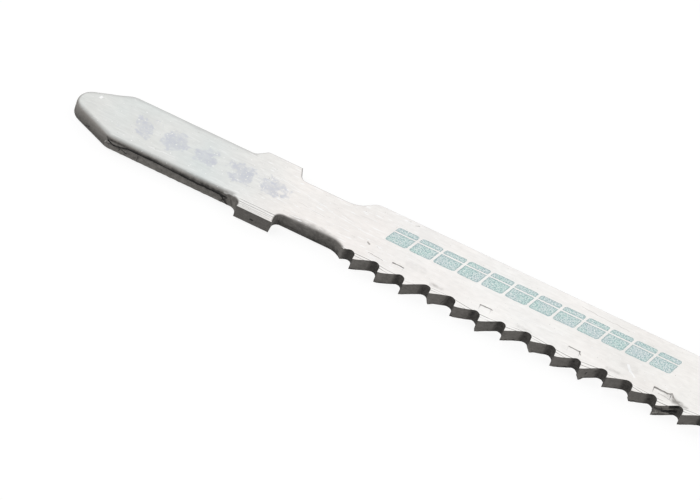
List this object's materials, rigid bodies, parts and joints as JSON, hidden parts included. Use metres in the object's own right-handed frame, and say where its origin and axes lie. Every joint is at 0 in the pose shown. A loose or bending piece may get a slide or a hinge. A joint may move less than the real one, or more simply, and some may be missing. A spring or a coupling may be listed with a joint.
{
  "type": "jigsaw blade",
  "caption": "Straight saw blade with a lugged T shank for a jigsaw; hooked teeth on one edge, pressed into a wave so the cut clears the body.",
  "frame": {"origin": "on the underside, on the shank's centre line, level with the lugs' shoulders", "axes": "+X from the shank to the free end, +Y from the teeth to the spine, +Z through the thickness"},
  "size_m": [0.1, 0.0082, 0.0019],
  "materials": {
    "blade_steel": "bright satin faces, dark oxide on the punched and ground edges, pale teal print"
  },
  "bodies": {
    "root": {"blade": "blade_steel"}
  },
  "joints": []
}
